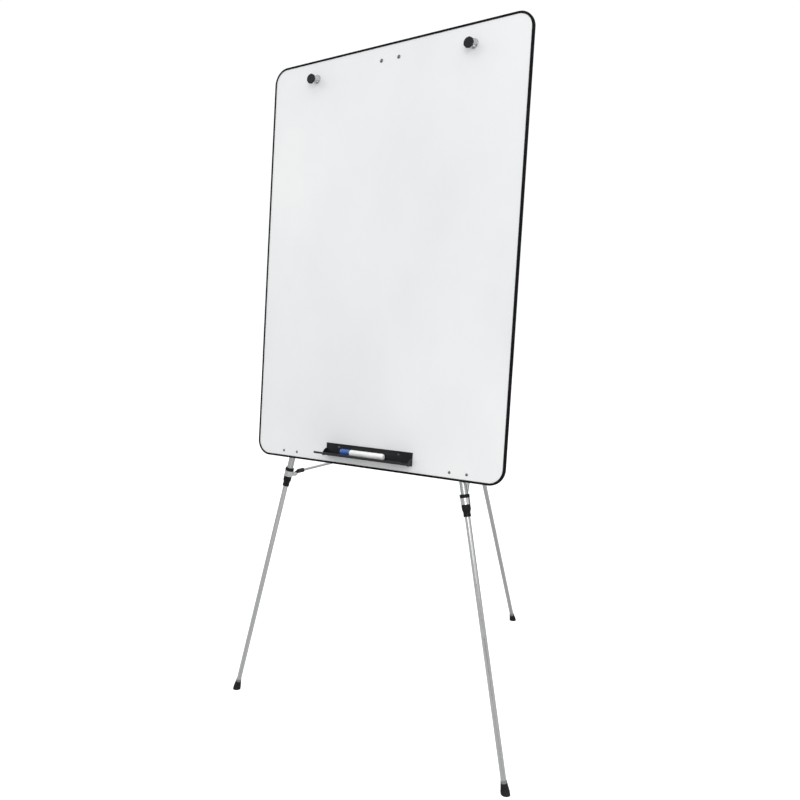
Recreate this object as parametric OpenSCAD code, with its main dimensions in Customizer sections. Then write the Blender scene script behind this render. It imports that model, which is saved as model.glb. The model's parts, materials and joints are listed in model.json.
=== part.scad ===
// Tripod flipchart easel: a dry-wipe board carried on two front legs, one
// folding rear leg, telescoping tubes with twist locks, and two hook-on braces.
// Millimetres. +Z up, the board faces -Y, the floor is Z = 0, and the origin is
// the middle of the footprint on the floor.

/* [Board] */
// Width of the board over its edge trim
board_w = 737; // [700:1:780]
// Height of the board over its edge trim
board_h = 1041; // [1020:1:1080]
// Outside radius of the board's corners
corner_r = 40; // [30:1:60]
// Thickness of the edge trim, front lip to back lip
trim_t = 8; // [8:0.5:10]
// Width of the trim lip that laps onto the face
lip_w = 5.4; // [4:0.1:8]
// Backward lean of the board from upright, degrees
lean = 4.8; // [3:0.1:6]
// Height of the board's lower edge above the floor
board_z = 688; // [660:1:720]

/* [Stance] */
// Sideways distance from the middle to each front foot
foot_x = 417; // [390:1:440]
// Distance the front feet stand forward of the board's lower edge
foot_fwd = 47; // [30:1:60]
// Distance the rear foot stands behind the board's lower edge
foot_back = 922; // [880:1:960]

/* [Tubes] */
// Outside diameter of the upper tubes
tube_d = 16.5; // [16.2:0.1:16.6]
// Outside diameter of the lower tubes
inner_d = 13; // [12.6:0.1:13.2]
// Wall thickness of both tubes
wall = 1; // [0.8:0.1:1.2]
// Length of each lower tube
lower_len = 1010; // [960:10:1040]

/* [Hub and locks] */
// Half the spacing of the front tubes where they meet the hub
apex_x = 30.7; // [29:0.1:34]
// Distance from the apex point to the top of the front collars
collar_at = 1037; // [1020:1:1050]
// Height of the hinge of the rear leg above the floor
hinge_z = 1640; // [1636:1:1644]
// Diameter of the hinge pin
pin_d = 6; // [5:0.5:7]

/* [Fittings] */
// Length of the marker tray
tray_l = 259; // [200:1:320]
// Depth of the marker tray in front of the writing face
tray_d = 56; // [48:1:62]
// Sideways distance from the middle to each chart peg
peg_x = 225; // [180:1:260]
// Height of the chart pegs up the board
peg_s = 987; // [960:1:992]
// Length of the marker with its cap on
marker_l = 130; // [120:1:150]

/* [Hidden] */
$fn = 64;
e = 0.01;

function unit(v) = v / norm(v);

foot_r = 10.5;
tr = tube_d / 2;
ir = inner_d / 2;

// Lines of the legs before the origin is moved to the footprint's middle:
// y = 0 at the lower front edge of the board.
apex_s = 980.4;                  // apex point, measured up the board
apex_off = 28.6;                 // and behind the board's face
apex0 = [apex_x, apex_s * sin(lean) + apex_off * cos(lean), board_z + apex_s * cos(lean) - apex_off * sin(lean)];
ffoot0 = [foot_x, -foot_fwd, 0];
rfoot0 = [0, foot_back, 0];
top_rear0 = [0, 119, 1662];
rdir = unit(rfoot0 - top_rear0);                 // down the rear leg
fdir = unit(ffoot0 - apex0);                     // down the right front leg
// Middle of the footprint, so that the origin sits under it
y_front = -foot_fwd - foot_r * sqrt((1 - fdir.x * fdir.x) / (fdir.z * fdir.z));
y_rear = foot_back + foot_r / abs(rdir.z);
yc = (y_front + y_rear) / 2;

function row(p) = [p.x, p.y - yc, p.z];
A = row(apex0);                                  // apex point of the right front leg
H = row(rfoot0 - rdir * (hinge_z / -rdir.z));    // hinge of the rear leg
front_l = norm(ffoot0 - apex0);
rear_l = hinge_z / -rdir.z;

// Collars: t is measured down each leg
c_front = collar_at;
band_t = c_front + 16;                           // middle of the band on a front leg
rear_band_t = (hinge_z - 722) / -rdir.z;
c_rear = rear_band_t - 16;

// Brace geometry: the pin of the front pivot and the stud on the rear band
ear_r = 20;
hook_x = 14.7;
Q = H + rdir * rear_band_t + [hook_x, 0, 0];     // stud, right side
C = A + fdir * band_t;
q_rel = Q - C;
ear = unit(q_rel - (q_rel * fdir) * fdir);       // way the ears point from the leg's axis
P = C + ear * ear_r;                             // pivot pin
brace_l = norm(Q - P);
bdir = unit(Q - P);
bax = unit(cross(bdir, -fdir));                  // pin axis: positive turns the brace up
swing = acos(bdir * -fdir) - 18;                // stops 18 degrees short of the front tube, clear of the collar
fold = atan(-rdir.y / rdir.z) - atan(-fdir.y / fdir.z);
// Way the stud leaves the hook, in the YZ plane: the reverse of the hook's first motion
v_hook = cross(bax, Q - P) * (swing / fold) - cross([-1, 0, 0], Q - H);
mouth = unit([0, -v_hook.y, -v_hook.z]);

echo(yc = yc, A = A, H = H, P = P, Q = Q, C = C);
echo(fdir = fdir, rdir = rdir, bax = bax, swing = swing, fold = fold, ratio = swing / fold, brace_l = brace_l);
echo(ear = ear, front_l = front_l, rear_l = rear_l, v_hook = v_hook, c_rear = c_rear);

// Places children with local X along x and local Z along z
module frame(p, x, z) {
  y = cross(z, x);
  multmatrix([[x.x, y.x, z.x, p.x], [x.y, y.y, z.y, p.y], [x.z, y.z, z.z, p.z], [0, 0, 0, 1]]) children();
}
// Board frame: local X right, Y up the board, Z out of the face
module on_board() frame([0, -yc, board_z], [1, 0, 0], [0, -cos(lean), sin(lean)]) children();
// Leg frames: local Z runs down the leg from the apex, local X towards the ears
module right_leg() frame(A, ear, fdir) children();
module left_leg() mirror([1, 0, 0]) right_leg() children();
module rear_leg() frame(H, [1, 0, 0], rdir) children();
module left() mirror([1, 0, 0]) children();
module cyl(r, t0, t1) translate([0, 0, t0]) cylinder(r = r, h = t1 - t0);
module tube(ro, ri, t0, t1) difference() { cyl(ro, t0, t1); cyl(ri, t0 - 1, t1 + 1); }

// Outline with round corners whose lower edge is on Y = y0
module outline(w, h, r, y0) {
  translate([-w / 2 + r, y0]) square([w - 2 * r, h]);
  translate([-w / 2, y0 + r]) square([w, h - 2 * r]);
  for (sx = [-1, 1], y = [y0 + r, y0 + h - r]) translate([sx * (w / 2 - r), y]) circle(r);
}
module slab(inset, z0, z1) translate([0, 0, z0]) linear_extrude(z1 - z0)
  outline(board_w - 2 * inset, board_h - 2 * inset, corner_r - inset, inset);

// Board levels, from the face of the trim (z = 0) backwards
lip_t = 1.4;
web_t = 1.6;
face_z = -lip_t;
sheet_z = face_z - 0.6;
back_z = -trim_t + lip_t;
core_z = back_z + 0.4;

// Places of the fasteners on the board
top_x = 25;
top_s = 1002.5;
br_x = 252.5;
br_s = 18;
br_dx = 22.5;
tray_sx = 90;
tray_ss = 44;
module board_holes() {
  for (sx = [-1, 1]) {
    translate([sx * top_x, top_s, -20]) cylinder(r = 2.3, h = 30);
    translate([sx * peg_x, peg_s, -20]) cylinder(r = 2.8, h = 30);
    for (k = [-1, 1]) translate([sx * (br_x + k * br_dx), br_s, -20]) cylinder(r = 2.0, h = 30);
  }
}
module tray_holes() for (sx = [-1, 1]) translate([sx * tray_sx, tray_ss, -5.4]) cylinder(r = 2.0, h = 12);

module edge_trim() color("#1d1e20") on_board() difference() {
  slab(0, -trim_t, 0);
  slab(web_t, -trim_t + lip_t, -lip_t);
  slab(lip_w, -trim_t - 1, 1);
}
module board_core() color("#b59a72") on_board() difference() {
  slab(web_t + 0.2, core_z, sheet_z);
  board_holes();
  tray_holes();
}
module writing_surface() color("#f4f6f7") on_board() difference() {
  slab(web_t + 0.2, sheet_z, face_z);
  board_holes();
  tray_holes();
}
module back_panel() color("#c9cbcc") on_board() difference() {
  slab(web_t + 0.2, back_z, core_z);
  board_holes();
}

// Tray section: tall back plate, rising shelf and a low front lip, with a web at each end
tf = face_z + 2;                                  // front of the tray's back plate
tray_front = face_z + tray_d;
shelf_rise = 6;
shelf_s = 25.2;                                   // shelf's top face where it meets the back plate
module tray_section() polygon([[face_z, 21], [face_z + 1, 20], [tf - 0.6, 20], [tf, 20.6], [tf, shelf_s - 2.6], [tray_front - 1.6, shelf_s - 2.6 + shelf_rise],
  [tray_front, shelf_s - 1 + shelf_rise], [tray_front, shelf_s + 2 + shelf_rise], [tray_front - 0.8, shelf_s + 2.7 + shelf_rise],
  [tray_front - 2, shelf_s + 2 + shelf_rise], [tray_front - 2.2, shelf_s + shelf_rise],
  [tf + 1, shelf_s], [tf, shelf_s + 1], [tf, 51.5], [tf + 1.4, 52.2], [tf + 1.4, 53.5], [face_z, 53.5]]);
module tray_web() intersection() {
  translate([tf - 1, 21.5]) circle(18.5);
  translate([face_z + 0.5, 21]) square([30, 30]);
}
module marker_tray() color("#202226") on_board() difference() {
  union() {
    rotate([0, -90, 0]) linear_extrude(tray_l, center = true) tray_section();
    for (sx = [-1, 1]) translate([sx * (tray_l / 2 - 1.1), 0, 0]) rotate([0, -90, 0]) linear_extrude(1.8, center = true) tray_web();
  }
  tray_holes();
}
// Domed head of radius a and height h on the plane z
module dome(a, h, z) {
  R = (a * a + h * h) / (2 * h);
  intersection() { translate([0, 0, z + h - R]) sphere(R); cyl(a, z, z + h); }
}
module tray_screws() color("#2b2c2e") on_board() for (sx = [-1, 1]) translate([sx * tray_sx, tray_ss]) {
  dome(3.6, 1.6, tf);
  cyl(1.7, -5.2, tf + 0.2);
}

// Marker lying in the corner of the tray: local Z runs from the cap to the plain end
mk_r = 8.2;
mk_x0 = -marker_l / 2 - 11;
mk_z = tf + 0.3 + mk_r;
mk_y = shelf_s + 1.2 + mk_r;
cap_l = 30;
module marker_frame() on_board() translate([mk_x0, mk_y, mk_z]) rotate([0, 90, 0]) children();
module marker_barrel() color("#f2f2f0") marker_frame() difference() {
  rotate_extrude() {
    polygon([[0, 14], [3.2, 14], [5.2, 22], [7.0, 24], [7.0, cap_l + 0.3], [mk_r - 0.3, cap_l + 0.3], [mk_r - 0.05, cap_l + 1],
      [mk_r - 0.05, marker_l - 5], [0, marker_l - 5]]);
    intersection() {
      translate([mk_r - 5.05, marker_l - 5]) circle(5);
      translate([0, marker_l - 5 - e]) square([mk_r, 6]);
    }
    translate([0, marker_l - 5 - e]) square([mk_r - 5.05, 5]);
  }
  cyl(2.1, 10, 20);
}
module marker_nib() color("#1e4f8c") marker_frame() {
  cyl(2.0, 9, 19.8);
  intersection() { translate([0, 0, 9]) sphere(2.0); cyl(2.0, 6, 9 + e); }
}
module marker_cap() color("#2456a4") marker_frame() difference() {
  rotate_extrude() {
    polygon([[0, 0], [mk_r - 1.5, 0], [mk_r - 0.4, 1.2], [mk_r, 4], [mk_r, cap_l], [0, cap_l]]);
  }
  translate([0, 0, 4]) cylinder(r = 7.05, h = 60);
  for (a = [0:30:359]) rotate(a) translate([mk_r + 0.35, 0, 3]) cylinder(r = 0.6, h = 18);
}

// Chart pegs: a post with an offset round flange on the face, a bolt from behind and a black knob
flange_up = 6;
module peg_posts() color("#c8cbce") on_board() for (sx = [-1, 1]) translate([sx * peg_x, peg_s]) difference() {
  union() {
      translate([0, flange_up, 0]) { cyl(11.5, face_z, 0.2); cyl(10.7, 0.2, 0.9); }
      cyl(5, face_z, 1.9);
      cyl(4, 1.4, 20);
      cyl(2.5, 20, 24);
    }
  cyl(2.55, -10, 6.5);
}
module peg_bolts() color("#9fa3a6") on_board() for (sx = [-1, 1]) translate([sx * peg_x, peg_s]) {
  cyl(2.5, -trim_t - 1, 6);
  dome_back(6, 3, back_z);
}
module dome_back(a, h, z) mirror([0, 0, 1]) dome(a, h, -z);
module peg_knob() difference() {
  rotate_extrude() {
    difference() {
      union() {
        translate([0, 20.3]) square([11.2, 5.9]);
        translate([11.2, 21.3]) circle(1, $fn = 32);
        translate([10.4, 21.3]) square([1.8, 3.1]);
        translate([10.4, 24.4]) circle(1.8, $fn = 32);
      }
      translate([10.4, 24.4]) difference() { square([3, 3]); circle(1.8, $fn = 32); }
      translate([-20, 0]) square([20, 60]);
    }
  }
  cyl(2.55, 19, 24.5);
  for (a = [0:40:359]) rotate(a + 20) translate([13.9, 0, 19]) cylinder(r = 2.9, h = 9);
}
module peg_knob_right() color("#17181a") on_board() translate([peg_x, peg_s]) peg_knob();
module peg_knob_left() color("#17181a") on_board() translate([-peg_x, peg_s]) peg_knob();

// Hub behind the top of the board: two blind sockets and two ears
hub_back = -30;
ear_in = 10.6;
ear_out = 17;
module apex_hub() color("#232427") difference() {
  union() {
    on_board() {
      translate([0, 0, -14]) linear_extrude(14 + back_z) outline(92, 70, 9, 946);
      translate([0, 0, hub_back]) linear_extrude(-hub_back - 13) outline(78, 50, 6, 962);
    }
    right_leg() cyl(11.2, -27, 46);
    left_leg() cyl(11.2, -27, 46);
    for (sx = [-1, 1]) translate([sx * (ear_out + ear_in - 2) / 2, 0, 0]) ear_plate(ear_out - ear_in + 2);
  }
  // clear space for the knuckle between the ears
  translate([-ear_in, H.y - 12, H.z - 60]) cube([2 * ear_in, 60, 110]);
  right_leg() cyl(tr + 0.05, -12, 60);
  left_leg() cyl(tr + 0.05, -12, 60);
  on_board() for (sx = [-1, 1]) translate([sx * top_x, top_s, -26]) cylinder(r = 2.05, h = 30);
  translate(H) rotate([0, 90, 0]) cylinder(r = pin_d / 2 + 0.05, h = 80, center = true);
}
// Ear: a round end on the hinge axis, carried back to the hub's block
module ear_plate(t) {
  translate(H) rotate([0, 90, 0]) cylinder(r = 10, h = t, center = true);
  translate([0, H.y, H.z]) rotate([-lean, 0, 0]) translate([-t / 2, -30, -9.4]) cube([t, 30, 18.8]);
}
module hinge_pin() color("#b9bcbf") translate(H) rotate([0, 90, 0]) {
  cylinder(r = pin_d / 2, h = 44, center = true);
  translate([0, 0, -20.3]) cylinder(r = 5.2, h = 3);
}
module hinge_nut() color("#b9bcbf") translate(H) rotate([0, 90, 0]) difference() {
  translate([0, 0, 17.3]) cylinder(r = 5.6, h = 4, $fn = 6);
  cylinder(r = pin_d / 2 + 0.02, h = 60, center = true);
}
module top_screws() color("#d7d9db") on_board() for (sx = [-1, 1]) translate([sx * top_x, top_s]) {
  dome(4.75, 2.4, face_z);
  cyl(2.0, -25, face_z + 0.2);
}
// Knuckle on the rear leg: barrel on the pin, socket for the tube, stop nose
module rear_knuckle() color("#232427") difference() {
  union() {
    translate(H) rotate([0, 90, 0]) cylinder(r = 9.7, h = 2 * ear_in - 0.6, center = true);
    rear_leg() {
      cyl(ear_in - 0.7, 0, 44);
      translate([-8, -4, -17]) cube([16, 40, 7.4]);
      translate([-8, -8, -17]) cube([16, 16, 17]);
    }
  }
  // the nose ends against the back of the hub's block
  on_board() translate([-50, 900, hub_back - 0.3]) cube([100, 160, 60]);
  rear_leg() cyl(tr + 0.05, 11, 60);
  translate(H) rotate([0, 90, 0]) cylinder(r = pin_d / 2 + 0.05, h = 80, center = true);
}

// Tubes
module upper_tube(t0, t1) color("#c9ccce") tube(tr, tr - wall, t0, t1);
module upper_tube_right() right_leg() upper_tube(-11.8, c_front + 20);
module upper_tube_left() left_leg() upper_tube(-11.8, c_front + 20);
module upper_tube_rear() rear_leg() upper_tube(11.2, c_rear + 20);
module lower_tube(l) color("#d2d4d6") tube(ir, ir - wall, l - 9 - lower_len, l - 9);
module lower_tube_right() right_leg() lower_tube(front_l);
module lower_tube_left() left_leg() lower_tube(front_l);
module lower_tube_rear() rear_leg() lower_tube(rear_l);

// Collar: shouldered sleeve on the end of the upper tube, with a threaded spigot
module collar(c) color("#1b1c1e") difference() {
  union() {
    rotate_extrude() polygon([[0, c], [11.1, c], [11.7, c + 0.8], [11.7, c + 7.6], [11.3, c + 8.2], [9.9, c + 8.2],
      [9.9, c + 23.8], [8.9, c + 23.8], [8.9, c + 33.6], [0, c + 33.6]]);
  }
  cyl(tr + 0.05, c - 1, c + 20);
  cyl(ir + 0.3, c + 5, c + 60);
}
module collar_right() right_leg() collar(c_front);
module collar_left() left_leg() collar(c_front);
module collar_rear() rear_leg() collar(c_rear);

// Band round the collar: with two ears on a front leg, with bosses at the rear
module band(c) tube(11.2, 9.95, c + 8.5, c + 23.5);
module band_eared(c) color("#d9dbdd") difference() {
  union() {
    band(c);
    for (s = [-1, 1]) translate([0, s * 3.05, 0]) rotate([90, 0, 0]) translate([0, 0, -0.75]) linear_extrude(1.5) {
      translate([ear_r, c + 16]) circle(5);
      translate([10.2, c + 9.5]) square([4.8, 13]);
      translate([10.2, c + 11]) square([ear_r - 10.2, 10]);
    }
  }
  translate([ear_r, 0, c + 16]) rotate([90, 0, 0]) cylinder(r = 1.65, h = 30, center = true);
  cyl(9.95, c, c + 40);
}
module band_right() right_leg() band_eared(c_front);
module band_left() left_leg() band_eared(c_front);
module band_rear() color("#d9dbdd") rear_leg() difference() {
  union() {
    band(c_rear);
    translate([0, 0, c_rear + 16]) rotate([0, 90, 0]) cylinder(r = 4.6, h = 24, center = true);
  }
  cyl(9.95, c_rear, c_rear + 40);
  translate([0, 0, c_rear + 16]) rotate([0, 90, 0]) cylinder(r = 2.2, h = 60, center = true);
}
// Studs riveted into the rear band: shank, shoulder for the hook and a head
module rear_studs() color("#a9adb0") rear_leg() for (s = [-1, 1]) translate([0, 0, c_rear + 16]) rotate([0, s * 90, 0]) {
  cyl(2.15, 10.3, 12.1);
  cyl(2.75, 12.1, 16.9);
  translate([0, 0, 0]) dome(4.6, 1.8, 16.9);
}

// Twist ring: fluted grip that turns on the collar's spigot
module lock_ring(c) color("#161719") difference() {
  rotate_extrude() polygon([[8.95, c + 24.1], [10.0, c + 24.1], [10.6, c + 24.8], [10.6, c + 34], [10.1, c + 37.4], [8.7, c + 40.4],
    [8.5, c + 45], [8.9, c + 48], [8.9, c + 51.4], [8.1, c + 52.3], [6.9, c + 52.3], [6.9, c + 49.2], [7.7, c + 48.8], [7.7, c + 36.2],
    [8.95, c + 34.4]]);
  for (a = [15:30:359]) rotate(a) translate([11.1, 0, c + 23]) cylinder(r = 1, h = 12);
}
module lock_ring_right() right_leg() lock_ring(c_front);
module lock_ring_left() left_leg() lock_ring(c_front);
module lock_ring_rear() rear_leg() lock_ring(c_rear);
// Split collet that the ring squeezes onto the lower tube
module collet(c) color("#e8e6df") difference() {
  tube(7.4, ir + 0.05, c + 36.6, c + 48.5);
  translate([0, -0.7, c + 30]) cube([10, 1.4, 30]);
}
module collet_right() right_leg() collet(c_front);
module collet_left() left_leg() collet(c_front);
module collet_rear() rear_leg() collet(c_rear);
// Guide plug in the top of a lower tube, running inside the upper tube
module guide_plug(l) color("#3a3b3d") translate([0, 0, l - 9 - lower_len]) {
  cyl(tr - wall - 0.05, -14, 0);
  cyl(ir - wall - 0.02, -e, 18);
}
module guide_plug_right() right_leg() guide_plug(front_l);
module guide_plug_left() left_leg() guide_plug(front_l);
module guide_plug_rear() rear_leg() guide_plug(rear_l);
// Ferrule and rubber foot; each sole is flat on the floor
module ferrule(l) color("#8f9294") tube(7.6, ir + 0.03, l - 30.5, l - 24.5);
module ferrule_right() right_leg() ferrule(front_l);
module ferrule_left() left_leg() ferrule(front_l);
module ferrule_rear() rear_leg() ferrule(rear_l);
module foot(l) difference() {
  rotate_extrude() polygon([[0, l - 24.5], [7.6, l - 24.5], [8.3, l - 23.8], [8.5, l - 20], [9.6, l - 13], [foot_r, l - 8],
    [foot_r, l + 8], [0, l + 8]]);
  cyl(ir + 0.03, l - 30, l - 8.8);
}
module floor_cut() translate([-600, -800, -60]) cube([1200, 1600, 60]);
module foot_right() color("#121314") difference() { right_leg() foot(front_l); floor_cut(); }
module foot_left() color("#121314") difference() { left_leg() foot(front_l); floor_cut(); }
module foot_rear() color("#121314") difference() { rear_leg() foot(rear_l); floor_cut(); }

// Saddle that carries the lower edge of the board on a front tube
module leg_bracket() difference() {
  union() {
    on_board() translate([0, 0, -12]) linear_extrude(12 + back_z) translate([br_x, 0]) outline(62, 22, 6, br_s - 11);
    intersection() {
      right_leg() cyl(11.4, (apex_s - br_s) / 0.9743 - 20, (apex_s - br_s) / 0.9743 + 20);
      on_board() translate([br_x - 40, br_s - 11, -60]) cube([80, 22, 60 + back_z]);
    }
  }
  right_leg() cyl(tr + 0.05, 900, 1030);
  on_board() for (k = [-1, 1]) translate([br_x + k * br_dx, br_s, -20]) cylinder(r = 1.65, h = 30);
}
module leg_bracket_right() color("#232427") leg_bracket();
module leg_bracket_left() color("#232427") left() leg_bracket();
module bracket_screws() color("#a4a7a9") on_board() for (sx = [-1, 1], k = [-1, 1]) translate([sx * (br_x + k * br_dx), br_s]) {
  dome(3.5, 1.7, face_z);
  cyl(1.6, -13.5, face_z + 0.2);
}

// Braces: local Z runs from the pivot to the hook, local X is the pin's axis and
// local -Y is the brace's upper side
module brace_frame() frame(P, bax, bdir) children();
rod_r = 3.5;
rod_up = 5.5;                                    // how far the rod starts above the line of the pivots
rod_z = 15;
rod_tilt = atan(rod_up / (brace_l - rod_z));
rod_l = (brace_l - rod_z) / cos(rod_tilt);
// Rod frame: origin where the rod starts, local Z along the rod to the stud
module rod_frame() brace_frame() translate([0, rod_side * rod_up, rod_z]) rotate([rod_side * rod_tilt, 0, 0]) children();
rod_side = -1;
eye_a = atan(rod_up / rod_z);
module brace_end() difference() {
  union() {
    brace_frame() rotate([0, 90, 0]) cylinder(r = 4.6, h = 4, center = true);
    brace_frame() rotate([-rod_side * (eye_a + 12), 0, 0]) translate([-2, -4.4, 0]) cube([4, 8.8, 14]);
    rod_frame() intersection() {
      translate([-4.4, -5.2, -5.5]) cube([8.8, 10.4, 17.5]);
      cyl(5.9, -6, 14);
    }
  }
  brace_frame() rotate([0, 90, 0]) cylinder(r = 1.65, h = 30, center = true);
  rod_frame() cyl(rod_r + 0.03, 0, 60);
}
module brace_end_right() color("#1b1c1e") brace_end();
module brace_end_left() color("#1b1c1e") left() brace_end();
module brace_rod() rod_frame() tube(rod_r, rod_r - 0.8, 0.2, rod_l - 18);
module brace_rod_right() color("#b4b8bb") brace_rod();
module brace_rod_left() color("#b4b8bb") left() brace_rod();
// Hook: socket on the rod and a flat plate whose slot drops over the stud
plate_t = 2.7;
module brace_hook() difference() {
  union() {
    rod_frame() cyl(4.9, rod_l - 34, rod_l - 9);
    translate([hook_x - plate_t / 2, Q.y, Q.z]) rotate([90, 0, 90]) linear_extrude(plate_t) hook_plate();
  }
  rod_frame() cyl(rod_r + 0.03, rod_l - 60, rod_l - 17.8);
  // keep the inner side flush with the plate
  translate([hook_x - plate_t / 2 - 30, Q.y - 50, Q.z - 50]) cube([30, 100, 100]);
}
// Plate outline in (Y, Z) about the stud
pd = unit([bdir.y, bdir.z]);
module hook_plate() difference() {
  union() {
    circle(6.8);
    rotate(atan2(-pd.y, -pd.x)) translate([0, -5.6]) square([22, 11.2]);
  }
  circle(3.1);
  rotate(atan2(mouth.z, mouth.y)) translate([0, -3.22]) square([20, 6.44]);
}
module brace_hook_right() color("#1b1c1e") brace_hook();
module brace_hook_left() color("#1b1c1e") left() brace_hook();
// Rivets through the ears and the brace ends
module brace_pin() frame(P, bdir, bax) { cyl(1.6, -4.4, 4.4); dome(2.8, 1.2, 3.85); mirror([0, 0, 1]) dome(2.8, 1.2, 3.85); }
module brace_pins() color("#c2c5c8") { brace_pin(); left() brace_pin(); }

edge_trim();
board_core();
writing_surface();
back_panel();
marker_tray();
tray_screws();
marker_barrel();
marker_nib();
marker_cap();
peg_posts();
peg_bolts();
peg_knob_left();
peg_knob_right();
apex_hub();
hinge_pin();
hinge_nut();
top_screws();
rear_knuckle();
upper_tube_left();
upper_tube_right();
upper_tube_rear();
lower_tube_left();
lower_tube_right();
lower_tube_rear();
collar_left();
collar_right();
collar_rear();
lock_ring_left();
lock_ring_right();
lock_ring_rear();
band_left();
band_right();
band_rear();
collet_left();
collet_right();
collet_rear();
guide_plug_left();
guide_plug_right();
guide_plug_rear();
ferrule_left();
ferrule_right();
ferrule_rear();
foot_left();
foot_right();
foot_rear();
leg_bracket_left();
leg_bracket_right();
bracket_screws();
brace_rod_left();
brace_rod_right();
brace_end_left();
brace_end_right();
brace_hook_left();
brace_hook_right();
brace_pins();
rear_studs();
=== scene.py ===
import bpy, bmesh, json, math
from mathutils import Vector, Matrix


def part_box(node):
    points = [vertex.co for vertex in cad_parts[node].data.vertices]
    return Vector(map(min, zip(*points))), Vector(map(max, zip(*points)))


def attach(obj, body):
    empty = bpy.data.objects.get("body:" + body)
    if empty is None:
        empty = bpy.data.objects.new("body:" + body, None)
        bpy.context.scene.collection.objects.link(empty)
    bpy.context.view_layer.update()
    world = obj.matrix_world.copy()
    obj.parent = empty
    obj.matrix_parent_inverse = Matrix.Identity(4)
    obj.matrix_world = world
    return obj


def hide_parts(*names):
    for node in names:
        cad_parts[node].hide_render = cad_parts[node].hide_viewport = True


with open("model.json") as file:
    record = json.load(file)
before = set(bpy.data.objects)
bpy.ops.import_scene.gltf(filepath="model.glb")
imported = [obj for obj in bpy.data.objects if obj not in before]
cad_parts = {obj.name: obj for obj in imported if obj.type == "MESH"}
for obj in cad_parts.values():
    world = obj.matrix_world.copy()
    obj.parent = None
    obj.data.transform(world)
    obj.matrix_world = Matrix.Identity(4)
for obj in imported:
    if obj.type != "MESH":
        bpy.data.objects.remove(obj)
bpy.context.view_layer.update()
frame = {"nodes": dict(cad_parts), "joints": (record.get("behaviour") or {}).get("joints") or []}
N = frame["nodes"]
JOINT = {j["name"]: j for j in frame["joints"]}


# ---------------------------------------------------------------- places
def mid(node):
    lo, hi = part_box(node)
    return (lo + hi) / 2


LEAN = math.radians(4.8)
UP = Vector((0, math.sin(LEAN), math.cos(LEAN)))      # up the board
OUT = Vector((0, -math.cos(LEAN), math.sin(LEAN)))    # out of the face
RIGHT = Vector((1, 0, 0))


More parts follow.
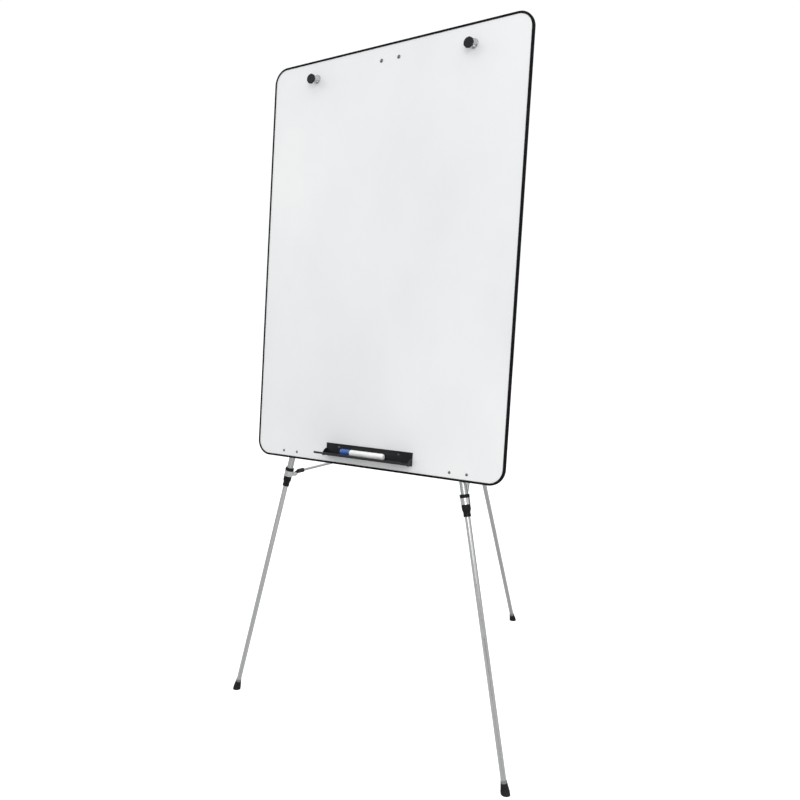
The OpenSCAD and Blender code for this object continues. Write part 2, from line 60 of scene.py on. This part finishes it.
# ---------------------------------------------------------------- node helpers
class Mat:
    """A small helper round a Principled material."""

    def __init__(self, name, color=(0.8, 0.8, 0.8), rough=0.5, metal=0.0):
        self.m = bpy.data.materials.new(name)
        self.m.use_nodes = True
        self.t = self.m.node_tree
        self.b = self.t.nodes["Principled BSDF"]
        self.b.inputs["Base Color"].default_value = (*color, 1)
        self.b.inputs["Roughness"].default_value = rough
        self.b.inputs["Metallic"].default_value = metal
        self.m.diffuse_color = (*color, 1)

    def n(self, kind, **props):
        node = self.t.nodes.new(kind)
        for k, v in props.items():
            setattr(node, k, v)
        return node

    def link(self, a, b):
        self.t.links.new(a, b)

    def coords(self, scale=(1, 1, 1)):
        tc = self.n("ShaderNodeTexCoord")
        mp = self.n("ShaderNodeMapping")
        mp.inputs["Scale"].default_value = scale
        self.link(tc.outputs["Object"], mp.inputs["Vector"])
        return mp.outputs["Vector"]

    def along(self, axis, origin, k_along, k_across):
        """Coordinates stretched along an axis: (across1, across2, along), for streaks on a tube."""
        a = Vector(axis).normalized()
        s = a.orthogonal().normalized()
        t = a.cross(s)
        tc = self.n("ShaderNodeTexCoord")
        sub = self.n("ShaderNodeVectorMath", operation="SUBTRACT")
        sub.inputs[1].default_value = origin
        self.link(tc.outputs["Object"], sub.inputs[0])
        comb = self.n("ShaderNodeCombineXYZ")
        for i, (v, k) in enumerate(((s, k_across), (t, k_across), (a, k_along))):
            d = self.n("ShaderNodeVectorMath", operation="DOT_PRODUCT")
            d.inputs[1].default_value = v * k
            self.link(sub.outputs[0], d.inputs[0])
            self.link(d.outputs["Value"], comb.inputs[i])
        return comb.outputs[0]

    def noise(self, vec, scale, detail=3, rough=0.5):
        n = self.n("ShaderNodeTexNoise")
        n.inputs["Scale"].default_value = scale
        n.inputs["Detail"].default_value = detail
        n.inputs["Roughness"].default_value = rough
        self.link(vec, n.inputs["Vector"])
        return n.outputs["Fac"]

    def ramp(self, fac, stops):
        r = self.n("ShaderNodeValToRGB")
        els = r.color_ramp.elements
        while len(els) < len(stops):
            els.new(0.5)
        for e, (p, c) in zip(els, stops):
            e.position = p
            e.color = c if len(c) == 4 else (*c, 1)
        self.link(fac, r.inputs["Fac"])
        return r.outputs["Color"]

    def remap(self, fac, a, b, lo=0.3, hi=0.7):
        r = self.n("ShaderNodeMapRange")
        r.inputs["From Min"].default_value = lo
        r.inputs["From Max"].default_value = hi
        r.inputs["To Min"].default_value = a
        r.inputs["To Max"].default_value = b
        self.link(fac, r.inputs["Value"])
        return r.outputs["Result"]

    def mix(self, fac, a, b):
        m = self.n("ShaderNodeMix", data_type="RGBA")
        for v, s in ((fac, 0), (a, 6), (b, 7)):
            if isinstance(v, (int, float)):
                m.inputs[s].default_value = v
            elif isinstance(v, tuple):
                m.inputs[s].default_value = (*v, 1) if len(v) == 3 else v
            else:
                self.link(v, m.inputs[s])
        return m.outputs[2]

    def math(self, op, a, b=None):
        m = self.n("ShaderNodeMath", operation=op)
        for v, s in ((a, 0), (b, 1)):
            if v is None:
                continue
            if isinstance(v, (int, float)):
                m.inputs[s].default_value = v
            else:
                self.link(v, m.inputs[s])
        return m.outputs[0]

    def bump(self, height, strength, distance):
        bp = self.n("ShaderNodeBump")
        bp.inputs["Strength"].default_value = strength
        bp.inputs["Distance"].default_value = distance
        self.link(height, bp.inputs["Height"])
        prev = self.b.inputs["Normal"]
        if prev.links:
            self.link(prev.links[0].from_socket, bp.inputs["Normal"])
        self.link(bp.outputs["Normal"], prev)

    def edge(self, lo=0.52, hi=0.6):
        """1 on convex edges, for wear."""
        g = self.n("ShaderNodeNewGeometry")
        return self.remap(g.outputs["Pointiness"], 0, 1, lo, hi)


def plastic(name, color, rough, grain=1400, depth=0.00004, wear=0.35, coat=0.0, spec=0.5):
    M = Mat(name, color, rough)
    M.b.inputs["Specular IOR Level"].default_value = spec
    v = M.coords()
    big = M.noise(v, 28, 4)
    fine = M.noise(v, grain, 3, 0.6)
    mid_ = M.noise(v, 190, 3, 0.6)
    light = tuple(min(1, c * 1.35 + 0.004) for c in color)
    base = M.mix(M.remap(big, 0, 1, 0.35, 0.65), color, light)
    base = M.mix(M.math("MULTIPLY", M.edge(), wear), base, tuple(min(1, c * 2.0 + 0.03) for c in color))
    M.link(base, M.b.inputs["Base Color"])
    M.link(M.remap(mid_, rough * 0.82, min(1, rough * 1.22)), M.b.inputs["Roughness"])
    if coat:
        M.b.inputs["Coat Weight"].default_value = coat
        M.b.inputs["Coat Roughness"].default_value = 0.18
    M.bump(fine, 0.35, depth)
    return M.m


def metal(name, color, rough, axis, origin, streak=0.25, dirt=0.3):
    """Drawn or brushed metal: fine streaks along the axis, cloudy tarnish and a few scuffs."""
    M = Mat(name, color, rough, 1.0)
    v = M.along(axis, origin, 3, 900)
    s1 = M.noise(v, 1.0, 4, 0.6)
    s2 = M.noise(M.along(axis, origin, 0.8, 260), 1.0, 3, 0.5)
    s3 = M.noise(M.along(axis, origin, 9, 120), 1.0, 5, 0.7)
    blot = M.noise(M.coords(), 22, 3)
    dark = tuple(c * (1 - streak) for c in color)
    base = M.mix(M.remap(s1, 0, 1, 0.35, 0.65), dark, color)
    base = M.mix(M.math("MULTIPLY", M.remap(s2, 0, 1, 0.4, 0.65), dirt), base, tuple(c * 0.62 for c in color))
    base = M.mix(M.math("MULTIPLY", M.remap(s3, 0, 1, 0.6, 0.72), dirt), base, tuple(min(1, c * 1.35) for c in color))
    M.link(base, M.b.inputs["Base Color"])
    r = M.math("ADD", M.remap(s1, rough * 0.75, rough * 1.2), M.remap(blot, -0.03, 0.05))
    M.link(r, M.b.inputs["Roughness"])
    M.bump(s1, 0.18, 0.00003)
    return M.m


def assign(mat, *names):
    for n in names:
        o = N[n] if isinstance(n, str) else n
        if not o.data.materials:
            o.data.materials.append(mat)
        for i in range(len(o.data.materials)):
            o.data.materials[i] = mat
        for s in o.material_slots:
            s.material = mat


# ---------------------------------------------------------------- stage, camera, light
def camera():
    yaw, pitch, roll = (math.radians(a) for a in (37.14, -7.29, 0.12))
    f = Vector((-math.sin(yaw) * math.cos(pitch), math.cos(yaw) * math.cos(pitch), math.sin(pitch)))
    r = Vector((math.cos(yaw), math.sin(yaw), 0))
    u = r.cross(f)
    c, s = math.cos(roll), math.sin(roll)
    r2, u2 = c * r + s * u, -s * r + c * u
    cam = bpy.data.cameras.new("camera")
    cam.sensor_width = 36
    cam.lens = 36 * 782.8 / 800
    cam.shift_x = (400 - 330.8) / 800
    cam.shift_y = (417.3 - 400) / 800
    cam.clip_start, cam.clip_end = 0.05, 60
    o = bpy.data.objects.new("camera", cam)
    m = Matrix((r2, u2, -f)).transposed().to_4x4()
    m.translation = Vector((1.092, -1.592 - 0.438057, 1.064))
    o.matrix_world = m
    bpy.context.scene.collection.objects.link(o)
    bpy.context.scene.camera = o
    return o


def stage():
    bm = bmesh.new()
    bmesh.ops.create_grid(bm, x_segments=4, y_segments=4, size=14)
    me = bpy.data.meshes.new("floor")
    bm.to_mesh(me); bm.free()
    o = bpy.data.objects.new("floor", me)
    bpy.context.scene.collection.objects.link(o)
    M = Mat("pale_floor", (0.84, 0.84, 0.845), 0.8)
    M.b.inputs["Specular IOR Level"].default_value = 0.05
    M.b.inputs["Emission Color"].default_value = (1, 1, 1, 1)
    M.b.inputs["Emission Strength"].default_value = 0.42
    dim = M.n("ShaderNodeBsdfDiffuse")
    dim.inputs["Color"].default_value = (0.5, 0.5, 0.5, 1)
    path = M.n("ShaderNodeLightPath")
    both = M.n("ShaderNodeMixShader")
    M.link(path.outputs["Is Camera Ray"], both.inputs[0])
    M.link(dim.outputs[0], both.inputs[1])
    M.link(M.b.outputs[0], both.inputs[2])
    # one-sided, so that the soles can be looked at from below
    geo = M.n("ShaderNodeNewGeometry")
    clear = M.n("ShaderNodeBsdfTransparent")
    under = M.n("ShaderNodeMixShader")
    M.link(geo.outputs["Backfacing"], under.inputs[0])
    M.link(both.outputs[0], under.inputs[1])
    M.link(clear.outputs[0], under.inputs[2])
    M.link(under.outputs[0], M.t.nodes["Material Output"].inputs["Surface"])
    me.materials.append(M.m)
    # seen directly the surround is white; as light it is softer near the horizon than overhead
    w = bpy.data.worlds.new("studio")
    bpy.context.scene.world = w
    w.use_nodes = True
    t = w.node_tree
    bg, out = t.nodes["Background"], t.nodes["World Output"]
    geo = t.nodes.new("ShaderNodeTexCoord")
    sep = t.nodes.new("ShaderNodeSeparateXYZ")
    t.links.new(geo.outputs["Generated"], sep.inputs[0])
    ramp = t.nodes.new("ShaderNodeValToRGB")
    for k, (pos, v) in enumerate(((0.0, 0.6), (0.5, 0.66), (0.85, 1.1))):
        e = ramp.color_ramp.elements[k] if k < 2 else ramp.color_ramp.elements.new(pos)
        e.position = pos
        e.color = (v, v, v, 1)
    zz = t.nodes.new("ShaderNodeMapRange")
    zz.inputs["From Min"].default_value = -1.0
    t.links.new(sep.outputs["Z"], zz.inputs["Value"])
    t.links.new(zz.outputs["Result"], ramp.inputs["Fac"])
    # two soft dark panels, as a studio uses, to shape the reflections in bright metal
    shade = ramp.outputs["Color"]
    for d, a0, a1, keep in (((0.60, -0.80, 0.0), 0.90, 0.97, 0.12), ((0.42, 0.90, 0.05), 0.72, 0.9, 0.15), ((-0.95, 0.3, 0.0), 0.86, 0.95, 0.3)):
        dot = t.nodes.new("ShaderNodeVectorMath")
        dot.operation = "DOT_PRODUCT"
        nrm = t.nodes.new("ShaderNodeVectorMath")
        nrm.operation = "NORMALIZE"
        t.links.new(geo.outputs["Generated"], nrm.inputs[0])
        t.links.new(nrm.outputs[0], dot.inputs[0])
        dot.inputs[1].default_value = Vector(d).normalized()
        rm = t.nodes.new("ShaderNodeMapRange")
        rm.interpolation_type = "SMOOTHSTEP"
        for k, v in zip(("From Min", "From Max", "To Min", "To Max"), (a0, a1, 1.0, keep)):
            rm.inputs[k].default_value = v
        t.links.new(dot.outputs["Value"], rm.inputs["Value"])
        mul = t.nodes.new("ShaderNodeVectorMath")
        mul.operation = "SCALE"
        t.links.new(shade, mul.inputs[0])
        t.links.new(rm.outputs["Result"], mul.inputs["Scale"])
        shade = mul.outputs[0]
    t.links.new(shade, bg.inputs["Color"])
    bg.inputs["Strength"].default_value = 1.0
    white = t.nodes.new("ShaderNodeBackground")
    white.inputs["Color"].default_value = (1, 1, 1, 1)
    white.inputs["Strength"].default_value = 1.05
    lp = t.nodes.new("ShaderNodeLightPath")
    mx = t.nodes.new("ShaderNodeMixShader")
    t.links.new(lp.outputs["Is Camera Ray"], mx.inputs[0])
    t.links.new(bg.outputs[0], mx.inputs[1])
    t.links.new(white.outputs[0], mx.inputs[2])
    t.links.new(mx.outputs[0], out.inputs["Surface"])

    def area(name, loc, target, size, power):
        l = bpy.data.lights.new(name, "AREA")
        l.shape = "RECTANGLE"
        l.size, l.size_y = size
        l.energy = power
        lo = bpy.data.objects.new(name, l)
        lo.location = loc
        lo.rotation_euler = (Vector(target) - Vector(loc)).to_track_quat("-Z", "Y").to_euler()
        lo.visible_camera = False
        bpy.context.scene.collection.objects.link(lo)
    area("key", (1.9, -3.3, 1.9), (0.1, -0.4, 1.2), (1.8, 1.8), 42)
    area("fill", (-3.0, -1.2, 2.6), (0, 0, 0.9), (1.4, 2.4), 22)
    area("rim", (2.4, 2.6, 2.4), (0, 0, 0.9), (1.2, 2.2), 24)


camera()
stage()

# ---------------------------------------------------------------- shapes
MMU = 0.001
BOARD0 = Vector((0, -438.057, 688))
A_R = Vector((30.7, -327.52, 1662.57))
H = Vector((0, -308.428, 1640))
F_R = Vector((0.225365, -0.0919062, -0.96993)).normalized()
F_REAR = Vector((0, 0.435037, -0.900413)).normalized()
EAR_R = Vector((-0.357655, 0.91823, -0.170109))
L_FRONT, L_REAR, C_FRONT, C_REAR = 1714.11, 1821.39, 1037.00, 1003.53


def mirrored(v):
    return Vector((-v.x, v.y, v.z))


LEG = {"right": (A_R, F_R, EAR_R, C_FRONT, L_FRONT),
       "left": (mirrored(A_R), mirrored(F_R), mirrored(EAR_R), C_FRONT, L_FRONT),
       "rear": (H, F_REAR, Vector((1, 0, 0)), C_REAR, L_REAR)}
UPPER_BODY = {"right": "board_frame", "left": "board_frame", "rear": "rear_leg"}
LOWER_BODY = {s: s + "_lower_leg" for s in LEG}
LOCK_BODY = {s: s + "_twist_lock" for s in LEG}


def make(name, bm, mat, body, nodes=(), bevel=0.0, sharp=35):
    bmesh.ops.remove_doubles(bm, verts=bm.verts, dist=1e-7)
    bmesh.ops.recalc_face_normals(bm, faces=bm.faces)
    me = bpy.data.meshes.new(name)
    bm.to_mesh(me); bm.free()
    for p in me.polygons:
        p.use_smooth = True
    me.set_sharp_from_angle(angle=math.radians(sharp))
    o = bpy.data.objects.new(name, me)
    bpy.context.scene.collection.objects.link(o)
    me.materials.append(mat)
    if bevel:
        bv = o.modifiers.new("edge", "BEVEL")
        bv.width = bevel * MMU
        bv.segments = 2
        bv.limit_method = "ANGLE"
        bv.angle_limit = math.radians(sharp)
        bv.harden_normals = False
    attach(o, body)
    if nodes:
        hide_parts(*nodes)
    return o


def axes(z, x=None):
    z = z.normalized()
    x = (x - z * x.dot(z)).normalized() if x is not None else z.orthogonal().normalized()
    return x, z.cross(x), z


def lathe(bm, origin, z, prof, seg=64, x=None, radial=None):
    """Turn a closed outline of (radius, height) in mm about an axis. radial(angle, height, radius) may change a radius."""
    ax, ay, az = axes(z, x)
    rings = []
    for r, t in prof:
        ring = []
        if r < 1e-6:
            ring = [bm.verts.new((origin + az * t) * MMU)] * seg
        else:
            for i in range(seg):
                a = 2 * math.pi * i / seg
                rr = radial(a, t, r) if radial else r
                ring.append(bm.verts.new((origin + az * t + (ax * math.cos(a) + ay * math.sin(a)) * rr) * MMU))
        rings.append(ring)
    n = len(rings)
    for k in range(n):
        p, q = rings[k], rings[(k + 1) % n]
        if prof[k][0] < 1e-6 and prof[(k + 1) % n][0] < 1e-6:
            continue
        for i in range(seg):
            j = (i + 1) % seg
            vs = []
            for v in (p[i], p[j], q[j], q[i]):
                if v not in vs:
                    vs.append(v)
            if len(vs) > 2:
                bm.faces.new(vs)


def arc(cx, cy, r, a0, a1, n):
    return [(cx + r * math.cos(math.radians(a0 + (a1 - a0) * i / n)), cy + r * math.sin(math.radians(a0 + (a1 - a0) * i / n))) for i in range(n + 1)]


def board_point(x, s, z):
    return BOARD0 + RIGHT * x + UP * s + OUT * z


def board_sweep(bm, w, h, rc, y0, prof, corner=20, straight=10):
    """Carry a closed outline of (inset, level) round the board's edge, in mm."""
    path = []
    for cx, cy, a0 in ((w / 2 - rc, y0 + h - rc, 0), (-w / 2 + rc, y0 + h - rc, 90), (-w / 2 + rc, y0 + rc, 180), (w / 2 - rc, y0 + rc, 270)):
        for i in range(corner + 1):
            a = math.radians(a0 + 90 * i / corner)
            path.append((cx, cy, math.cos(a), math.sin(a)))
    out = []
    for k, p in enumerate(path):
        out.append(p)
        q = path[(k + 1) % len(path)]
        if (k + 1) % (corner + 1) == 0:
            for i in range(1, straight):
                f = i / straight
                out.append((p[0] + (q[0] - p[0]) * f, p[1] + (q[1] - p[1]) * f, p[2], p[3]))
    rings = [[bm.verts.new(board_point(cx + dx * (rc - u), cy + dy * (rc - u), z) * MMU) for u, z in prof] for cx, cy, dx, dy in out]
    for k in range(len(rings)):
        a, b = rings[k], rings[(k + 1) % len(rings)]
        for i in range(len(prof)):
            j = (i + 1) % len(prof)
            bm.faces.new((a[i], a[j], b[j], b[i]))


def soften(node, width=0.5, angle=38):
    """Round the edges of a CAD node with modifiers; its mesh stays as it is."""
    o = N[node]
    w = o.modifiers.new("weld", "WELD")
    w.merge_threshold = 2e-6
    b = o.modifiers.new("edge", "BEVEL")
    b.width = width * MMU
    b.segments = 2
    b.limit_method = "ANGLE"
    b.angle_limit = math.radians(angle)
    b.use_clamp_overlap = True


# ---------------------------------------------------------------- materials
ORG = {s: LEG[s][0] * MMU for s in LEG}
# the rear leg's upper and lower tubes are darker copies of the front legs' anodised colours: painted shade on the
# rear leg, which stands behind the board
UPPER_COL = {"left": (0.66, 0.67, 0.68), "right": (0.66, 0.67, 0.68), "rear": (0.62, 0.63, 0.64)}
LOWER_COL = {"left": (0.82, 0.83, 0.835), "right": (0.82, 0.83, 0.835), "rear": (0.76, 0.77, 0.78)}
up_mat = {s: metal("anodised_upper_" + s, UPPER_COL[s], 0.33, LEG[s][1], ORG[s], 0.3, 0.5) for s in LEG}
low_mat = {s: metal("anodised_lower_" + s, LOWER_COL[s], 0.28, LEG[s][1], ORG[s], 0.3, 0.5) for s in LEG}
fer_mat = {s: metal("ferrule_" + s, (0.33, 0.34, 0.35), 0.4, LEG[s][1], ORG[s]) for s in LEG}
band_mat = {s: metal("band_" + s, (0.74, 0.75, 0.76), 0.13, LEG[s][1], ORG[s], 0.08, 0.2) for s in LEG}
black_gloss = plastic("black_collar", (0.006, 0.006, 0.007), 0.34, spec=0.13)
black_lock = plastic("black_lock", (0.005, 0.005, 0.006), 0.42, spec=0.12)
black_hub = plastic("black_hub", (0.014, 0.014, 0.016), 0.48, spec=0.35)
black_trim = plastic("black_trim", (0.006, 0.006, 0.007), 0.62, 700, 0.00005, 0.12, spec=0.03)
black_tray = plastic("black_tray", (0.008, 0.009, 0.011), 0.42, 900, 0.00004, 0.5, spec=0.25)
knob_black = plastic("black_knob", (0.006, 0.006, 0.007), 0.32, spec=0.25)
rubber = plastic("black_rubber", (0.009, 0.009, 0.009), 0.72, 900, 0.00008, 0.3, spec=0.2)

# ---------------------------------------------------------------- board edge
bm = bmesh.new()
R = 1.5
prof = ([(5.4, -1.4), (5.4, -0.45)] + arc(4.95, -0.45, 0.45, 0, 90, 3) + arc(R, -R, R, 90, 180, 6) + arc(R, -8 + R, R, 180, 270, 6)
        + arc(4.95, -7.55, 0.45, 270, 360, 3) + [(5.4, -6.6), (1.6, -6.6), (1.6, -1.4)])
board_sweep(bm, 737, 1041, 40, 0, prof)
make("edge_moulding", bm, black_trim, "board_frame", ["edge_trim"], sharp=40)

# ---------------------------------------------------------------- legs
for s, (o0, z, ex, c, ln) in LEG.items():
    up, lo, lk = UPPER_BODY[s], LOWER_BODY[s], LOCK_BODY[s]
    bm = bmesh.new()
    t0, t1 = (11.2, c + 20) if s == "rear" else (-11.8, c + 20)
    steps = [t0 + (t1 - t0) * i / 12 for i in range(13)]
    lathe(bm, o0, z, [(7.25, t0), (8.0, t0), (8.25, t0 + 0.3)] + [(8.25, t) for t in steps[1:-1]] + [(8.25, t1 - 0.3), (8.0, t1), (7.25, t1)]
          + [(7.25, t) for t in reversed(steps[1:-1])], 48)
    make("outer_tube_" + s, bm, up_mat[s], up, ["upper_tube_" + s])
    bm = bmesh.new()
    t0, t1 = ln - 9 - 1010, ln - 9
    steps = [t0 + (t1 - t0) * i / 12 for i in range(13)]
    lathe(bm, o0, z, [(5.5, t0), (6.3, t0), (6.5, t0 + 0.3)] + [(6.5, t) for t in steps[1:-1]] + [(6.5, t1 - 0.3), (6.3, t1), (5.5, t1)]
          + [(5.5, t) for t in reversed(steps[1:-1])], 48)
    make("inner_tube_" + s, bm, low_mat[s], lo, ["lower_tube_" + s])
    # collar with a rounded shoulder
    bm = bmesh.new()
    lathe(bm, o0, z, [(8.3, c), (10.9, c)] + arc(10.7, c + 1.0, 1.0, -75, 0, 4) + arc(10.7, c + 7.2, 1.0, 0, 80, 4) + [(9.9, c + 8.2), (9.9, c + 23.8), (8.9, c + 23.8),
          (8.9, c + 24.8), (8.5, c + 25.3), (8.9, c + 25.8), (8.9, c + 33.3), (8.6, c + 33.6), (6.8, c + 33.6), (6.8, c + 20), (8.3, c + 20)], 64)
    make("collar_body_" + s, bm, black_gloss, up, ["collar_" + s])

    # twist ring: twelve flutes that fade out at both ends, waist and rolled lip
    def flute(a, t, r, c=c):
        k = max(0.0, min(1.0, (t - c - 24.8) / 1.4)) * max(0.0, min(1.0, (c + 35.6 - t) / 1.6))
        ph = (a * 12 / (2 * math.pi) + 0.5) % 1.0 - 0.5
        return r - (0.62 * k * max(0.0, 1 - (ph / 0.27) ** 2) if r > 10 else 0)
    bm = bmesh.new()
    lathe(bm, o0, z, [(8.95, c + 24.1), (10.0, c + 24.1), (10.45, c + 24.4), (10.6, c + 24.9)] + [(10.6, c + 25.4 + i * 0.95) for i in range(10)]
          + [(10.45, c + 35.4), (10.1, c + 37.4), (9.3, c + 39.2), (8.75, c + 40.6), (8.55, c + 42.5), (8.5, c + 45), (8.65, c + 46.8), (8.9, c + 48), (8.95, c + 49.6),
             (8.9, c + 51.2), (8.6, c + 52.0), (8.1, c + 52.3), (6.9, c + 52.3), (6.9, c + 49.2), (7.7, c + 48.8), (7.7, c + 36.2), (8.95, c + 34.4)], 144, radial=flute)
    make("twist_ring_" + s, bm, black_lock, lk, ["lock_ring_" + s])
    # ferrule with a rolled bead
    bm = bmesh.new()
    lathe(bm, o0, z, [(6.53, ln - 30.5), (7.3, ln - 30.5), (7.6, ln - 30.2), (7.6, ln - 28.6), (7.35, ln - 28.2), (7.6, ln - 27.8), (7.6, ln - 24.9), (7.4, ln - 24.6), (6.53, ln - 24.6)], 64)
    make("ferrule_ring_" + s, bm, fer_mat[s], lo, ["ferrule_" + s])
    # rubber foot: two moulded grooves, a rounded skirt and a flat sole
    bm = bmesh.new()
    FR = 10.5
    lathe(bm, o0, z, [(0, ln - 8.8), (6.53, ln - 8.8), (6.53, ln - 24.5), (7.4, ln - 24.5), (8.0, ln - 24.2), (8.3, ln - 23.6), (8.4, ln - 21.9), (7.95, ln - 21.5), (7.95, ln - 20.9), (8.5, ln - 20.5),
          (8.8, ln - 18.6), (8.4, ln - 18.1), (8.45, ln - 17.5), (9.05, ln - 17.0), (9.6, ln - 13), (FR - 0.35, ln - 9.4), (FR, ln - 7.6), (FR, ln + 8), (0, ln + 8)], 72)
    bmesh.ops.remove_doubles(bm, verts=bm.verts, dist=1e-7)
    cut = bmesh.ops.bisect_plane(bm, geom=bm.verts[:] + bm.edges[:] + bm.faces[:], plane_co=(0, 0, 0), plane_no=(0, 0, 1), clear_inner=True)
    bmesh.ops.holes_fill(bm, edges=[e for e in cut["geom_cut"] if isinstance(e, bmesh.types.BMEdge)], sides=0)
    make("rubber_foot_" + s, bm, rubber, lo, ["foot_" + s])

# ---------------------------------------------------------------- materials on the CAD nodes
for s in ("left", "right", "rear"):
    assign(band_mat[s], "band_" + s)
    assign(plastic("nylon_" + s, (0.78, 0.77, 0.72), 0.5), "collet_" + s)
    assign(plastic("guide_" + s, (0.04, 0.04, 0.04), 0.5), "guide_plug_" + s)
assign(black_hub, "apex_hub", "rear_knuckle", "leg_bracket_left", "leg_bracket_right")
assign(black_tray, "marker_tray")
assign(knob_black, "peg_knob_left", "peg_knob_right")
assign(plastic("black_brace", (0.009, 0.009, 0.010), 0.42, spec=0.32), "brace_end_left", "brace_end_right", "brace_hook_left", "brace_hook_right")
zinc = metal("zinc_plate", (0.55, 0.56, 0.57), 0.3, UP, (0, 0, 0), 0.15)
assign(zinc, "hinge_pin", "hinge_nut", "peg_bolts", "brace_pins", "rear_studs")
assign(metal("steel_screw", (0.17, 0.175, 0.18), 0.32, UP, (0, 0, 0), 0.15), "top_screws", "bracket_screws")
assign(metal("turned_alu", (0.55, 0.56, 0.57), 0.25, OUT, (0, 0, 0), 0.12), "peg_posts")
assign(plastic("dark_steel", (0.03, 0.03, 0.034), 0.35), "tray_screws")
for s in ("left", "right"):
    lo_, hi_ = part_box("brace_rod_" + s)
    d = Vector((lo_.x if s == "right" else hi_.x, hi_.y, hi_.z)) - Vector((hi_.x if s == "right" else lo_.x, lo_.y, lo_.z))
    assign(metal("brace_rod_" + s, (0.66, 0.67, 0.68), 0.33, d, lo_, 0.3, 0.5), "brace_rod_" + s)
assign(plastic("marker_white", (0.76, 0.76, 0.75), 0.28, 600, 0.00002, 0, 0.3), "marker_barrel")
assign(plastic("marker_blue", (0.012, 0.07, 0.27), 0.3, 600, 0.00002, 0.1, 0.3), "marker_cap")
assign(plastic("nib", (0.02, 0.08, 0.3), 0.8), "marker_nib")
# enamel with the faint clouds and wiped streaks of a used dry-wipe board
B = Mat("board_white", (0.81, 0.817, 0.82), 0.2)
cloud = B.noise(B.coords((1, 1, 0.6)), 2.2, 4)
wipe = B.noise(B.coords((7, 7, 1.1)), 5.0, 5, 0.6)
base = B.mix(B.remap(cloud, 0, 1, 0.35, 0.65), (0.765, 0.782, 0.795), (0.85, 0.856, 0.86))
base = B.mix(B.math("MULTIPLY", B.remap(B.noise(B.coords((1, 1, 1)), 9.0, 2, 0.4), 0, 1, 0.45, 0.7), 0.2), base, (0.77, 0.80, 0.82))
B.link(base, B.b.inputs["Base Color"])
B.link(B.remap(wipe, 0.19, 0.25), B.b.inputs["Roughness"])
B.bump(B.noise(B.coords(), 60, 3), 0.08, 0.00008)
assign(B.m, "writing_surface")
# plain galvanised sheet: a soft, small spangle and a light rolled grain
K = Mat("back_sheet", (0.46, 0.47, 0.48), 0.45, 0.35)
spangle = K.noise(K.coords(), 75, 2, 0.4)
rolled = K.noise(K.coords((40, 40, 2)), 6, 3, 0.5)
kb = K.mix(K.remap(spangle, 0, 1, 0.4, 0.6), (0.445, 0.455, 0.465), (0.475, 0.485, 0.495))
K.link(K.mix(K.math("MULTIPLY", K.remap(rolled, 0, 1, 0.4, 0.7), 0.5), kb, (0.44, 0.45, 0.46)), K.b.inputs["Base Color"])
K.link(K.remap(spangle, 0.40, 0.52), K.b.inputs["Roughness"])
K.bump(rolled, 0.1, 0.00004)
assign(K.m, "back_panel")
assign(plastic("hardboard", (0.36, 0.25, 0.14), 0.8), "board_core")

for n, w in (("marker_tray", 0.35), ("apex_hub", 0.7), ("rear_knuckle", 0.7), ("leg_bracket_left", 0.6), ("leg_bracket_right", 0.6),
             ("brace_end_left", 0.5), ("brace_end_right", 0.5), ("brace_hook_left", 0.3), ("brace_hook_right", 0.3)):
    soften(n, w)

# close the hair-thin slivers that the tessellated round heads carry
for n in ("brace_pins", "bracket_screws", "marker_nib", "peg_bolts", "peg_knob_left", "peg_knob_right", "rear_studs", "top_screws", "tray_screws"):
    w = N[n].modifiers.new("weld", "WELD")
    w.merge_threshold = 1.5e-5

sc = bpy.context.scene
sc.view_settings.view_transform = "Standard"
